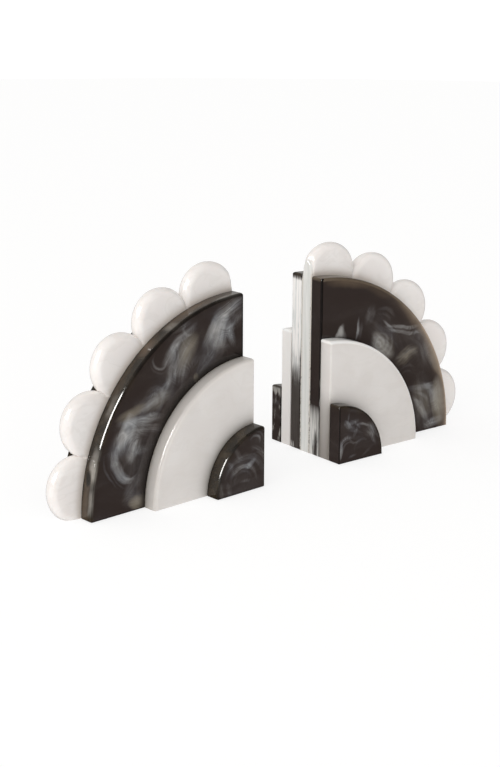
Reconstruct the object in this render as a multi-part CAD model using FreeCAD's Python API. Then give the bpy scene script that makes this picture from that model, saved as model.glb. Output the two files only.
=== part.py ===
# Pair of scalloped quarter-round book ends, cast resin, bonded in layers.
# Millimetres. +Z is up, the shelf is z = 0, the pair stands along X, and the
# side that faces the room is -Y.  The origin is the centre of the pair's
# footprint box, on the shelf.
#
# Each book end is a stack of seven slabs, thickness along Y, all flush at the
# base and at the upright book face: small, medium and large quarter discs on
# each side of a scalloped core.  Every slab is a separate casting, the slabs
# are joined by thin adhesive films, and four clear pads lift the base.
import FreeCAD
import Part
import math
import os

V = FreeCAD.Vector

# ---------------------------------------------------------------- dimensions
LAYER_PITCH = 12.7          # one slab and one adhesive film
FILM = 0.15                 # adhesive film between two slabs
SLAB = LAYER_PITCH - FILM   # slab thickness
R_LARGE = 152.4             # quarter disc radii
R_MEDIUM = 102.0
R_SMALL = 49.8

LOBE_COUNT = 5
LOBE_R = 25.4               # radius of one scallop
LOBE_CENTRE_R = 153.8       # scallop centres lie on this radius
LOBE_A0 = 8.6               # degrees from the base, and from the book face
LOBE_ROUND = 5.6            # rounding of the scallops' edges
CORE_R = 156.0              # round-edged plate that carries the scallops

RIM_FILLET = 3.0            # outer curved edge of each exposed face
FACE_FILLET = 1.5           # exposed edges of the upright book face
FOOT_FILLET = 0.8           # exposed edges of the base
FILM_INSET = 1.2            # adhesive stops short of the joint's edges

PAD_R = 5.0                 # clear anti-slip pads
PAD_H = 0.6
PAD_XY = [(-9.5, -36.5), (-9.5, 36.5), (-138.0, -12.7), (-138.0, 12.7)]

GAP_X = 85.0                # book faces apart, at the middle of the depth
GAP_Y = -2.6                # right book end is this far forward
TURN = -4.3                 # and is turned by this much about Z, degrees

OUT = "parts"
os.makedirs(OUT, exist_ok=True)


# ------------------------------------------------------------------- helpers
def quarter_slab(radius, y0, y1, grow=0.0):
    """Quarter disc with its corner at the origin, on the -X side."""
    r = radius + grow
    a = V(0, y0, 0)
    b = V(0, y0, r)
    mid = V(-r * math.cos(math.pi / 4), y0, r * math.sin(math.pi / 4))
    c = V(-r, y0, 0)
    wire = Part.Wire([Part.LineSegment(a, b).toShape(),
                      Part.Arc(b, mid, c).toShape(),
                      Part.LineSegment(c, a).toShape()])
    return Part.Face(wire).extrude(V(0, y1 - y0, 0))


def near(a, b):
    return abs(a - b) < 1e-4


def fillet(shape, radius, edges):
    out = shape.makeFillet(radius, edges)
    if not out.isValid() or len(out.Solids) != 1:
        raise RuntimeError("fillet %.2f failed" % radius)
    return out.Solids[0]


def arch(radius, y_back, y_front):
    """One quarter disc; y_front is its exposed face, y_back its bonded face."""
    s = quarter_slab(radius, min(y_back, y_front), max(y_back, y_front))

    def bonded(box):
        return near(box.YMin, y_back) and near(box.YMax, y_back)

    # outer curved edge of the exposed face
    s = fillet(s, RIM_FILLET, [
        e for e in s.Edges
        if near(e.BoundBox.YMin, y_front) and near(e.BoundBox.YMax, y_front)
        and e.BoundBox.XLength > 10 and e.BoundBox.ZLength > 10])
    # edges of the book face, except along the bond and the base
    s = fillet(s, FACE_FILLET, [
        e for e in s.Edges
        if near(e.BoundBox.XMin, 0) and near(e.BoundBox.XMax, 0)
        and not bonded(e.BoundBox) and e.BoundBox.ZMax > 0.5])
    # edges of the base, except along the bond
    s = fillet(s, FOOT_FILLET, [
        e for e in s.Edges
        if near(e.BoundBox.ZMin, 0) and near(e.BoundBox.ZMax, 0)
        and not bonded(e.BoundBox)])
    return s


def pillow_disc(radius, cx, cz):
    """Disc with rounded edges, revolved about its axis, which runs along Y."""
    h = SLAB / 2.0
    e = LOBE_ROUND
    k = e * (1 - math.sqrt(0.5))
    p = [V(0, -h, 0), V(radius - e, -h, 0), V(radius, -h + e, 0),
         V(radius, h - e, 0), V(radius - e, h, 0), V(0, h, 0)]
    m1 = V(radius - k, -h + k, 0)
    m2 = V(radius - k, h - k, 0)
    wire = Part.Wire([Part.LineSegment(p[0], p[1]).toShape(),
                      Part.Arc(p[1], m1, p[2]).toShape(),
                      Part.LineSegment(p[2], p[3]).toShape(),
                      Part.Arc(p[3], m2, p[4]).toShape(),
                      Part.LineSegment(p[4], p[5]).toShape(),
                      Part.LineSegment(p[5], p[0]).toShape()])
    s = Part.Face(wire).revolve(V(0, 0, 0), V(0, 1, 0), 360)
    if s.Volume < 0:
        s.reverse()
    s.translate(V(cx, 0, cz))
    return s


def scallop_core():
    step = math.radians((90.0 - 2 * LOBE_A0) / (LOBE_COUNT - 1))
    first = math.radians(LOBE_A0)
    lobes = []
    for i in range(LOBE_COUNT):
        a = first + i * step
        lobes.append(pillow_disc(LOBE_R, -LOBE_CENTRE_R * math.cos(a),
                                 LOBE_CENTRE_R * math.sin(a)))
    s = pillow_disc(CORE_R, 0, 0).multiFuse(lobes)
    # the plate and the outermost scallops are trimmed flat by the base and
    # by the book face
    s = s.common(Part.makeBox(300, 60, 300, V(-300, -30, 0))).removeSplitter()
    return s.Solids[0]


def films():
    out = []
    for i, r in ((0.5, R_LARGE), (1.5, R_MEDIUM), (2.5, R_SMALL)):
        for sgn in (-1, 1):
            y = sgn * i * LAYER_PITCH
            f = quarter_slab(r - 2 * FILM_INSET, y - FILM / 2, y + FILM / 2)
            f.translate(V(-FILM_INSET, 0, FILM_INSET))
            out.append(f)
    return out


def pads():
    out = []
    for x, y in PAD_XY:
        p = Part.makeCylinder(PAD_R, PAD_H, V(x, y, -PAD_H), V(0, 0, 1))
        low = [e for e in p.Edges if near(e.BoundBox.ZMax, -PAD_H)
               and near(e.BoundBox.ZMin, -PAD_H)]
        out.append(p.makeFillet(0.25, low).Solids[0])
    return out


def book_end():
    """All pieces of one book end: corner of base and book face at the origin."""
    h = SLAB / 2.0
    T = LAYER_PITCH
    n = {}
    n["scallop_core"] = [scallop_core()]
    for side, sgn in (("front", -1), ("rear", 1)):
        n[side + "_large_arch"] = [arch(R_LARGE, sgn * (T - h), sgn * (T + h))]
        n[side + "_medium_arch"] = [arch(R_MEDIUM, sgn * (2 * T - h), sgn * (2 * T + h))]
        n[side + "_small_arch"] = [arch(R_SMALL, sgn * (3 * T - h), sgn * (3 * T + h))]
    n["bond_films"] = films()
    n["foot_pads"] = pads()
    return n


# ------------------------------------------------------------------ assembly
left = book_end()
right = {}
for name, solids in book_end().items():
    # the right book end is the same object turned to face the left one
    if name.startswith("front"):
        other = name.replace("front", "rear")
    elif name.startswith("rear"):
        other = name.replace("rear", "front")
    else:
        other = name
    for s in solids:
        s.rotate(V(0, 0, 0), V(0, 0, 1), 180 + TURN)
        s.translate(V(GAP_X, GAP_Y, 0))
    right[other] = solids

nodes = {}
for name, solids in left.items():
    nodes["left_" + name] = solids
for name, solids in right.items():
    nodes["right_" + name] = solids

box = FreeCAD.BoundBox()
for solids in nodes.values():
    for s in solids:
        box.add(s.optimalBoundingBox(False))
shift = V(-(box.XMin + box.XMax) / 2, -(box.YMin + box.YMax) / 2, -box.ZMin)
print("size %.2f %.2f %.2f" % (box.XLength, box.YLength, box.ZLength))
print("left corner at", shift)

total = 0.0
for name in sorted(nodes):
    for s in nodes[name]:
        s.translate(shift)
        assert s.isValid() and s.Volume > 0, name
        total += s.Volume
    shape = nodes[name][0] if len(nodes[name]) == 1 else Part.makeCompound(nodes[name])
    shape.exportStep(os.path.join(OUT, name + ".step"))
    print("%-26s %8.0f mm3  solids %d" % (name, sum(s.Volume for s in nodes[name]),
                                          len(nodes[name])))
print("total volume %.0f mm3" % total)
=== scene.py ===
import math
import random

import bpy
import numpy as np
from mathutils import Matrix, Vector


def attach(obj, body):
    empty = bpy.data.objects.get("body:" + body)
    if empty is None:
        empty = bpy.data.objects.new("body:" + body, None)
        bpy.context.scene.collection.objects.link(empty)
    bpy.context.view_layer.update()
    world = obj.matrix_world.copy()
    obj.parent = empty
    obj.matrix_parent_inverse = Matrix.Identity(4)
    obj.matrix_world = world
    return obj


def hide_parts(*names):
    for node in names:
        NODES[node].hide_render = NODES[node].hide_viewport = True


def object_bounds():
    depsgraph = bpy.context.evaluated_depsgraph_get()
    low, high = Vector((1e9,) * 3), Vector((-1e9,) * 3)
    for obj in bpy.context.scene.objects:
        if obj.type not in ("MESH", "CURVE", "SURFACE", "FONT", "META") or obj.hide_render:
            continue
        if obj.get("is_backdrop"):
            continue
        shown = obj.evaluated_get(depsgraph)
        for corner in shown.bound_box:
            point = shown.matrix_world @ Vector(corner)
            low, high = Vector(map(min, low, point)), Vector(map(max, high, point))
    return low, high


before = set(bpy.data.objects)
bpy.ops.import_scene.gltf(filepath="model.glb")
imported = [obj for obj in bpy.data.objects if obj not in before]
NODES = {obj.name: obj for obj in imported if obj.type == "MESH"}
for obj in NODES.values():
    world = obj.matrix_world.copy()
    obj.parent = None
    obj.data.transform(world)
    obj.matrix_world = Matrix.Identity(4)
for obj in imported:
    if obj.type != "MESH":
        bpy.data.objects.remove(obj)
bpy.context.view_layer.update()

MM = 0.001

# ------------------------------------------------------------------ placement
# Where each book end stands, read from its scalloped core: the corner of base
# and book face at mid depth, and the turn about Z.
TURN_RIGHT = math.radians(-4.3)


def verts_of(node):
    o = NODES[node]
    co = np.empty(len(o.data.vertices) * 3)
    o.data.vertices.foreach_get("co", co)
    return co.reshape(-1, 3)


def corner_of(node, turn, outward):
    co = verts_of(node)
    c, s = math.cos(-turn), math.sin(-turn)
    lx = c * co[:, 0] - s * co[:, 1]
    ly = s * co[:, 0] + c * co[:, 1]
    x0 = lx.min() if outward > 0 else lx.max()
    y0 = (ly.min() + ly.max()) / 2
    c, s = math.cos(turn), math.sin(turn)
    return Vector((c * x0 - s * y0, s * x0 + c * y0, co[:, 2].min()))


SIDES = {
    "left": {"corner": corner_of("left_scallop_core", 0.0, -1), "turn": 0.0, "dir": -1.0,
             "body": "left_bookend"},
    "right": {"corner": corner_of("right_scallop_core", TURN_RIGHT, 1), "turn": TURN_RIGHT,
              "dir": 1.0, "body": "right_bookend"},
}

# slab layout in mm, in a book end's own axes: X out from the book face,
# Y across the slabs (front is -Y), Z up from the base
PITCH, SLAB = 12.7, 12.55
R_LARGE, R_MEDIUM, R_SMALL = 152.4, 102.0, 49.8
H = SLAB / 2
LOBE_R, LOBE_RC, LOBE_A0, PLATE_R = 25.5, 154.7, math.radians(8.45), 156.0
LOBES = 5


def to_row(points, side):
    """Book end axes in mm to the row frame in metres."""
    s = SIDES[side]
    p = np.asarray(points, float) * MM
    x = p[:, 0] * s["dir"]
    y = p[:, 1]
    c, n = math.cos(s["turn"]), math.sin(s["turn"])
    return np.stack([s["corner"].x + c * x - n * y,
                     s["corner"].y + n * x + c * y,
                     s["corner"].z + p[:, 2]], -1)


# ---------------------------------------------------------------------- meshes
def ring_solid(name, rings, side, centre, inner=(0.8, 0.55, 0.3), sharp=None):
    """A closed solid from a stack of rings (front to back), each an (n, 3)
    array in mm. The end rings are closed by scaled rings and a fan."""
    n = len(rings[0])
    front, back = rings[0], rings[-1]
    stack = []
    for k in sorted(inner):
        c = np.array([centre[0], front[0][1], centre[1]])
        stack.append(c + (front - c) * k)
    stack += list(rings)
    for k in sorted(inner, reverse=True):
        c = np.array([centre[0], back[0][1], centre[1]])
        stack.append(c + (back - c) * k)
    pts = np.concatenate(stack)
    first = len(pts)
    pts = np.concatenate([pts, [[centre[0], front[0][1], centre[1]]],
                          [[centre[0], back[0][1], centre[1]]]])
    faces = []
    m = len(stack)
    for j in range(m - 1):
        a, b = j * n, (j + 1) * n
        for i in range(n):
            i2 = (i + 1) % n
            faces.append((a + i, a + i2, b + i2, b + i))
    for i in range(n):
        i2 = (i + 1) % n
        faces.append((first, i2, i))
        faces.append((first + 1, (m - 1) * n + i, (m - 1) * n + i2))
    row = to_row(pts, side)
    me = bpy.data.meshes.new(name)
    me.from_pydata(row.tolist(), [], faces)
    me.validate()
    # outward normals whichever way the book end faces
    import bmesh
    bm = bmesh.new()
    bm.from_mesh(me)
    bmesh.ops.recalc_face_normals(bm, faces=bm.faces)
    bm.to_mesh(me)
    bm.free()
    for p in me.polygons:
        p.use_smooth = True
    me.set_sharp_from_angle(angle=math.radians(48))
    me.update()
    o = bpy.data.objects.new(name, me)
    bpy.context.scene.collection.objects.link(o)
    return o


def lerp(a, b, t):
    return a + (b - a) * t


def arch_ring(radius, y_face, y_dir, phi, rho, plan):
    """One ring of a quarter disc's outline. rho holds the edge rounding on the
    arc, the book face and the foot; phi is 0 on the side wall, 90 deg on the
    flat face. y_dir points from the flat face into the slab."""
    ra, rf, rb = rho
    cosp, sinp = 1 - math.cos(phi), 1 - math.sin(phi)
    ia, i_f, ib = ra * cosp, rf * cosp, rb * cosp
    R = radius - ia
    shrink = (ia + i_f) / 2
    rt = max(plan[0] - 0.55 * shrink, 0.3)
    rfo = max(plan[1] - 0.45 * (ia + ib) / 2, 0.25)
    rc = max(plan[1] - 0.45 * (i_f + ib) / 2, 0.25)
    pts, rhos = [], []
    # foot corner at the book face, going up
    for t in np.linspace(0, 1, 7):
        a = math.pi * 1.5 - t * math.pi / 2
        pts.append((i_f + rc + rc * math.cos(a), ib + rc + rc * math.sin(a)))
        rhos.append(lerp(rb, rf, t))
    zt = math.sqrt((R - rt) ** 2 - (i_f + rt) ** 2)
    for t in np.linspace(0, 1, 40)[1:-1]:
        pts.append((i_f, lerp(ib + rc, zt, t)))
        rhos.append(rf)
    # top corner
    end = math.atan2(zt, i_f + rt)
    for t in np.linspace(0, 1, 9):
        a = lerp(math.pi, end, t)
        pts.append((i_f + rt + rt * math.cos(a), zt + rt * math.sin(a)))
        rhos.append(lerp(rf, ra, t * t * (3 - 2 * t)))
    # arc
    xb = math.sqrt((R - rfo) ** 2 - (ib + rfo) ** 2)
    start = math.atan2(ib + rfo, xb)
    for t in np.linspace(0, 1, 150)[1:-1]:
        a = lerp(end, start, t)
        pts.append((R * math.cos(a), R * math.sin(a)))
        rhos.append(ra)
    for t in np.linspace(0, 1, 7):
        a = lerp(start, -math.pi / 2, t)
        pts.append((xb + rfo * math.cos(a), ib + rfo + rfo * math.sin(a)))
        rhos.append(lerp(ra, rb, t * t * (3 - 2 * t)))
    for t in np.linspace(0, 1, 40)[1:-1]:
        pts.append((lerp(xb, i_f + rc, t), ib))
        rhos.append(rb)
    out = np.zeros((len(pts), 3))
    out[:, 0] = [p[0] for p in pts]
    out[:, 2] = [p[1] for p in pts]
    out[:, 1] = y_face + y_dir * np.array(rhos) * sinp
    return out


def arch(name, side, radius, y_open, y_bond):
    """Quarter disc slab: rounded on the exposed face, crisp on the bonded one."""
    d = 1.0 if y_bond > y_open else -1.0
    plan = (1.5, 0.8)
    rings = []
    rho = (3.0, 1.5, 0.8)
    back = (0.35, 0.3, 0.3)
    # flat margin of the exposed face, then the rounding
    f = arch_ring(radius, y_open, d, math.pi / 2, rho, plan)
    c = np.array([radius * 0.42, 0, radius * 0.42])
    m = f.copy()
    vec = c - m
    vec[:, 1] = 0
    vec /= np.linalg.norm(vec, axis=1)[:, None]
    rings.append(m + vec * 0.7)
    for p in np.linspace(math.pi / 2, 0, 11):
        rings.append(arch_ring(radius, y_open, d, p, rho, plan))
    # wall: straight between the two roundings; hand-polished castings have a slight crown, not drawn here
    b0 = arch_ring(radius, y_bond, -d, 0.0, back, plan)
    w0 = rings[-1]
    for t in (0.04, 0.2, 0.4, 0.6, 0.8, 0.96):
        r = lerp(w0, b0, t)
        rings.append(r)
    for p in np.linspace(0, math.pi / 2, 5):
        rings.append(arch_ring(radius, y_bond, -d, p, back, plan))
    g = rings[-1].copy()
    vec = c - g
    vec[:, 1] = 0
    vec /= np.linalg.norm(vec, axis=1)[:, None]
    rings.append(g + vec * 0.6)
    return ring_solid(name, rings, side, (radius * 0.42, radius * 0.42))


def smax(a, b, k):
    h = np.maximum(k - np.abs(a - b), 0) / k
    return np.maximum(a, b) + h * h * k / 4


LOBE_W, LOBE_N = 5.6, 2.15       # pillow edge: how wide and how full
LOBE_AT = [LOBE_A0 + i * (math.pi / 2 - 2 * LOBE_A0) / (LOBES - 1) for i in range(LOBES)]
THETA = []
for i, a in enumerate(LOBE_AT):
    half = (LOBE_AT[1] - LOBE_AT[0]) / 2
    lo = 0.0 if i == 0 else a - half
    hi = math.pi / 2 if i == LOBES - 1 else a + half
    t = np.linspace(-1, 1, 59)
    q = np.sin(t * math.pi / 2) * 0.7 + t * 0.3      # closer together at the notches
    th = np.where(q < 0, a + q * (a - lo), a + q * (hi - a))
    THETA += list(th if i == 0 else th[1:])
THETA = np.array(THETA)


def lobed_outline():
    best = np.full(len(THETA), PLATE_R)
    for a in LOBE_AT:
        d = THETA - a
        disc = LOBE_R ** 2 - (LOBE_RC * np.sin(d)) ** 2
        far = np.where(disc > 0, LOBE_RC * np.cos(d) + np.sqrt(np.maximum(disc, 0)), 0)
        best = np.where(far > 0, smax(best, far, 0.5), best)
    return best


OUTLINE = lobed_outline()


def pillow(d, w=LOBE_W, n=LOBE_N):
    v = np.clip(1 - d / w, 0, 1)
    return H * (1 - v ** n) ** (1 / n)


def half_depth(x, z):
    """Half thickness of the scalloped core at (x, z)."""
    x, z = np.asarray(x, float), np.asarray(z, float)
    d = PLATE_R - np.hypot(x, z)
    best = np.where(d > 0, pillow(d), 0)
    for a in LOBE_AT:
        d = LOBE_R - np.hypot(x - LOBE_RC * math.cos(a), z - LOBE_RC * math.sin(a))
        best = smax(best, np.where(d > 0, pillow(d), 0), 0.55)
    return np.minimum(best, H)


def within(pts, side):
    """Eases the outermost scallops in, by about a millimetre, to the reach of
    the slightly smaller core in model.glb."""
    co = verts_of(side + "_scallop_core")
    turn = SIDES[side]["turn"]
    lx = math.cos(turn) * co[:, 0] + math.sin(turn) * co[:, 1]
    reach = ((lx.max() - lx.min()) / MM, None, (co[:, 2].max() - co[:, 2].min()) / MM)
    for axis in (0, 2):
        v = pts[:, axis]
        top = v.max()
        f = min(1.0, (reach[axis] - 0.04 - 160.0) / (top - 160.0))
        pts[:, axis] = np.where(v > 160.0, 160.0 + (v - 160.0) * f, v)
    return pts


def core(name, side):
    """Front and rear sheets on a polar grid about the corner of base and book
    face, meeting along the scalloped outline; two caps close the flat cuts."""
    ts = list(9.5 * np.linspace(0, 1, 27) ** 2.0)[::-1]
    inner = [0.0, 0.12, 0.3, 0.5, 0.7, 0.85, 0.95]
    nth = len(THETA)
    X, Z = [], []
    for k in inner:
        R = (OUTLINE - 9.5) * k
        X.append(R * np.cos(THETA))
        Z.append(R * np.sin(THETA))
    for t in ts:
        R = OUTLINE - t
        X.append(R * np.cos(THETA))
        Z.append(R * np.sin(THETA))
    X, Z = np.maximum(np.array(X), 0), np.maximum(np.array(Z), 0)
    h = half_depth(np.minimum(X, 1e9), Z)
    h[-1, :] = 0.0
    ns = len(X)
    # rounding of the cut edges: crisp between slabs, softer where exposed
    lift_f = np.clip((Z - 151.0) / 5.0, 0, 1)
    rho_f = np.minimum(0.3 + 1.7 * lift_f, h)
    lift_b = np.clip((X - 151.0) / 5.0, 0, 1)
    rho_b = np.minimum(0.3 + 0.6 * lift_b, h)
    Xs = X + rho_f * np.clip(1 - X / 3.0, 0, 1)
    Zs = Z + rho_b * np.clip(1 - Z / 3.0, 0, 1)
    pts, index = [], {}

    def vert(key, x, y, z):
        if key not in index:
            index[key] = len(pts)
            pts.append((x, y, z))
        return index[key]

    def sheet(j, i, sg):
        if j == 0:
            return vert(("c", sg), Xs[0, 0], sg * h[0, 0], Zs[0, 0])
        if j == ns - 1:
            return vert(("o", i), X[j, i], 0.0, Z[j, i])
        return vert(("s", sg, j, i), Xs[j, i], sg * h[j, i], Zs[j, i])

    faces = []
    for sg in (-1, 1):
        for j in range(ns - 1):
            for i in range(nth - 1):
                q = [sheet(j, i, sg), sheet(j, i + 1, sg), sheet(j + 1, i + 1, sg),
                     sheet(j + 1, i, sg)]
                q = [v for k, v in enumerate(q) if v not in q[:k]]
                if len(q) > 2:
                    faces.append(q if sg > 0 else q[::-1])
    # caps
    rows = []
    for k in range(6):
        a = math.radians(90 * k / 5)
        rows.append((-1, 1 - math.sin(a), 1 - math.cos(a)))
    flat = [-0.6, -0.2, 0.2, 0.6]
    m = 6 + len(flat) + 6

    def cap_point(kind, j, k):
        i = 0 if kind == "foot" else nth - 1
        if j == ns - 1:
            return sheet(j, i, 1)
        if k == 0:
            return sheet(j, i, -1)
        if k == m - 1:
            return sheet(j, i, 1)
        hh = float(h[j, i])
        rho = float((rho_b if kind == "foot" else rho_f)[j, i])
        if k < 6:
            sg, inset, drop = rows[k]
            y, off = sg * (hh - rho * drop), rho * inset
        elif k < 6 + len(flat):
            y, off = flat[k - 6] * (hh - rho), 0.0
        else:
            sg, inset, drop = rows[m - 1 - k]
            y, off = (hh - rho * drop), rho * inset
        if j == 0:
            return vert(("k", k), off, y, off)
        if kind == "foot":
            return vert(("f", j, k), float(Xs[j, i]), y, off)
        return vert(("u", j, k), off, y, float(Zs[j, i]))

    for kind in ("foot", "up"):
        for j in range(ns - 1):
            for k in range(m - 1):
                q = [cap_point(kind, j, k), cap_point(kind, j + 1, k),
                     cap_point(kind, j + 1, k + 1), cap_point(kind, j, k + 1)]
                q = [v for n_, v in enumerate(q) if v not in q[:n_]]
                if len(q) > 2:
                    faces.append(q if kind == "up" else q[::-1])
    row = to_row(within(np.array(pts, float), side), side)
    me = bpy.data.meshes.new(name)
    me.from_pydata(row.tolist(), [], faces)
    me.validate()
    import bmesh
    bm = bmesh.new()
    bm.from_mesh(me)
    bmesh.ops.recalc_face_normals(bm, faces=bm.faces)
    bm.to_mesh(me)
    bm.free()
    for q in me.polygons:
        q.use_smooth = True
    me.set_sharp_from_angle(angle=math.radians(48))
    me.update()
    o = bpy.data.objects.new(name, me)
    bpy.context.scene.collection.objects.link(o)
    return o


# ------------------------------------------------------------------- materials
def new_mat(name):
    m = bpy.data.materials.new(name)
    m.use_nodes = True
    m.node_tree.nodes.clear()
    return m


class Net:
    """Short hand for building a node tree."""

    def __init__(self, tree):
        self.t = tree
        self.x = 0

    def add(self, kind, **props):
        n = self.t.nodes.new(kind)
        self.x += 1
        n.location = ((self.x % 30) * 180, -(self.x // 30) * 260)
        for k, v in props.items():
            setattr(n, k, v)
        return n

    def put(self, socket, value):
        if isinstance(value, bpy.types.NodeSocket):
            self.t.links.new(value, socket)
        elif value is not None:
            socket.default_value = value

    def math(self, op, a, b=None, c=None, clamp=False):
        n = self.add("ShaderNodeMath", operation=op)
        n.use_clamp = clamp
        self.put(n.inputs[0], a)
        if b is not None:
            self.put(n.inputs[1], b)
        if c is not None:
            self.put(n.inputs[2], c)
        return n.outputs[0]

    def vmath(self, op, a, b=None, scale=None):
        n = self.add("ShaderNodeVectorMath", operation=op)
        self.put(n.inputs[0], a)
        if b is not None:
            self.put(n.inputs[1], b)
        if scale is not None:
            self.put(n.inputs[3], scale)
        return n.outputs["Value"] if op in ("LENGTH", "DOT_PRODUCT", "DISTANCE") else n.outputs[0]

    def sep(self, v):
        n = self.add("ShaderNodeSeparateXYZ")
        self.put(n.inputs[0], v)
        return n.outputs

    def comb(self, x, y, z):
        n = self.add("ShaderNodeCombineXYZ")
        self.put(n.inputs[0], x)
        self.put(n.inputs[1], y)
        self.put(n.inputs[2], z)
        return n.outputs[0]

    def noise(self, v, scale, detail=2.0, rough=0.5, dist=0.0, color=False, lac=2.0):
        n = self.add("ShaderNodeTexNoise")
        self.put(n.inputs["Vector"], v)
        self.put(n.inputs["Scale"], scale)
        self.put(n.inputs["Detail"], detail)
        self.put(n.inputs["Roughness"], rough)
        self.put(n.inputs["Lacunarity"], lac)
        self.put(n.inputs["Distortion"], dist)
        return n.outputs["Color"] if color else n.outputs["Fac"]

    def ramp(self, v, a, b, lo=0.0, hi=1.0, smooth=True):
        n = self.add("ShaderNodeMapRange")
        n.interpolation_type = "SMOOTHSTEP" if smooth else "LINEAR"
        n.clamp = True
        self.put(n.inputs["Value"], v)
        self.put(n.inputs["From Min"], a)
        self.put(n.inputs["From Max"], b)
        self.put(n.inputs["To Min"], lo)
        self.put(n.inputs["To Max"], hi)
        return n.outputs["Result"]

    def mix(self, fac, a, b):
        n = self.add("ShaderNodeMix", data_type="RGBA")
        self.put(n.inputs[0], fac)
        self.put(n.inputs[6], a)
        self.put(n.inputs[7], b)
        return n.outputs[2]


def group(name, ins, outs):
    g = bpy.data.node_groups.new(name, "ShaderNodeTree")
    for kind, n, d in ins:
        s = g.interface.new_socket(n, in_out="INPUT", socket_type=kind)
        if d is not None:
            s.default_value = d
    for kind, n in outs:
        g.interface.new_socket(n, in_out="OUTPUT", socket_type=kind)
    net = Net(g)
    gi = g.nodes.new("NodeGroupInput")
    go = g.nodes.new("NodeGroupOutput")
    return g, net, gi.outputs, go.inputs


F, VEC = "NodeSocketFloat", "NodeSocketVector"


def envelope_and_streaks(n, u, v, y, i):
    """Soft-edged envelope in (u, v), textured by streaks that run along u."""
    u2 = n.math("MULTIPLY", u, u)
    v_in = n.math("SUBTRACT", v, n.math("MULTIPLY", i["Bend"], u2))
    va = n.math("MAXIMUM", n.math("MULTIPLY", v_in, i["Sharp"]), n.math("MULTIPLY", v_in, -1.0))
    r2 = n.math("MULTIPLY_ADD", va, va, u2)
    env = n.math("POWER", n.math("SUBTRACT", 1.0, r2, clamp=True), 1.35)
    q = n.comb(n.math("MULTIPLY_ADD", u, i["Along"], i["Seed"]),
               n.math("MULTIPLY", y, 0.04),
               n.math("MULTIPLY_ADD", v_in, i["Across"], i["Seed"]))
    s = n.ramp(n.noise(q, 1.0, 2.0, 0.5, 0.3), 0.28, 0.72, 0.0, 1.25, smooth=False)
    hair = n.ramp(n.noise(n.vmath("MULTIPLY", q, (1.7, 1.0, 3.1)), 1.0, 2.0, 0.55, 0.2),
                  0.3, 0.7, 0.62, 1.38, smooth=False)
    s = n.math("MULTIPLY", s, hair)
    body = n.math("ADD", n.math("SUBTRACT", 1.0, i["Streaks"]), n.math("MULTIPLY", s, i["Streaks"]))
    return n.math("MULTIPLY", n.math("MULTIPLY", env, body), i["Strength"])


COMMON = [(F, "Half width", 4.0), (F, "Bend", 0.0), (F, "Sharp", 1.0), (F, "Along", 1.2),
          (F, "Across", 2.2), (F, "Streaks", 0.6), (F, "Seed", 0.0), (F, "Strength", 0.6),
          (F, "Depth", 40.0)]


def depth_fade(n, y, i):
    k = n.math("DIVIDE", y, i["Depth"])
    return n.math("SUBTRACT", 1.0, n.math("MULTIPLY", k, k), clamp=True)


def wisp_group():
    g, n, i, o = group("resin_wisp",
                       [(VEC, "Vector", None), (VEC, "Centre", None), (F, "Angle", 0.0),
                        (F, "Half length", 10.0)] + COMMON,
                       [(F, "Density")])
    p = n.vmath("SUBTRACT", i["Vector"], i["Centre"])
    r = n.add("ShaderNodeVectorRotate", rotation_type="Y_AXIS")
    n.put(r.inputs["Vector"], p)
    n.put(r.inputs["Angle"], i["Angle"])
    s = n.sep(r.outputs[0])
    u = n.math("DIVIDE", s[0], i["Half length"])
    v = n.math("DIVIDE", s[2], i["Half width"])
    d = envelope_and_streaks(n, u, v, s[1], i)
    n.put(o["Density"], n.math("MULTIPLY", d, depth_fade(n, s[1], i)))
    return g


def curl_group():
    g, n, i, o = group("resin_curl",
                       [(VEC, "Vector", None), (VEC, "Centre", None), (F, "Angle", 0.0),
                        (F, "Half arc", 1.0), (F, "Radius", 10.0), (F, "Spiral", 0.0),
                        (F, "Squash", 1.0)] + COMMON,
                       [(F, "Density")])
    p = n.vmath("SUBTRACT", i["Vector"], i["Centre"])
    r = n.add("ShaderNodeVectorRotate", rotation_type="Y_AXIS")
    n.put(r.inputs["Vector"], p)
    n.put(r.inputs["Angle"], i["Angle"])
    s = n.sep(r.outputs[0])
    z = n.math("MULTIPLY", s[2], i["Squash"])
    length = n.math("SQRT", n.math("MULTIPLY_ADD", s[0], s[0], n.math("MULTIPLY", z, z)))
    ang = n.math("ARCTAN2", z, s[0])
    u = n.math("DIVIDE", ang, i["Half arc"])
    rad = n.math("MULTIPLY_ADD", u, i["Spiral"], i["Radius"])
    v = n.math("DIVIDE", n.math("SUBTRACT", length, rad), i["Half width"])
    d = envelope_and_streaks(n, u, v, s[1], i)
    n.put(o["Density"], n.math("MULTIPLY", d, depth_fade(n, s[1], i)))
    return g


WISP, CURL = wisp_group(), curl_group()


def local_mm(n, side, shift=(0, 0, 0)):
    """Book end axes in mm, from the object's own coordinates."""
    s = SIDES[side]
    tc = n.add("ShaderNodeTexCoord")
    m = n.add("ShaderNodeMapping", vector_type="TEXTURE")
    n.put(m.inputs["Vector"], tc.outputs["Object"])
    m.inputs["Location"].default_value = s["corner"]
    m.inputs["Rotation"].default_value = (0, 0, s["turn"])
    m.inputs["Scale"].default_value = (MM * s["dir"], MM, MM)
    return m.outputs[0]


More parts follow.
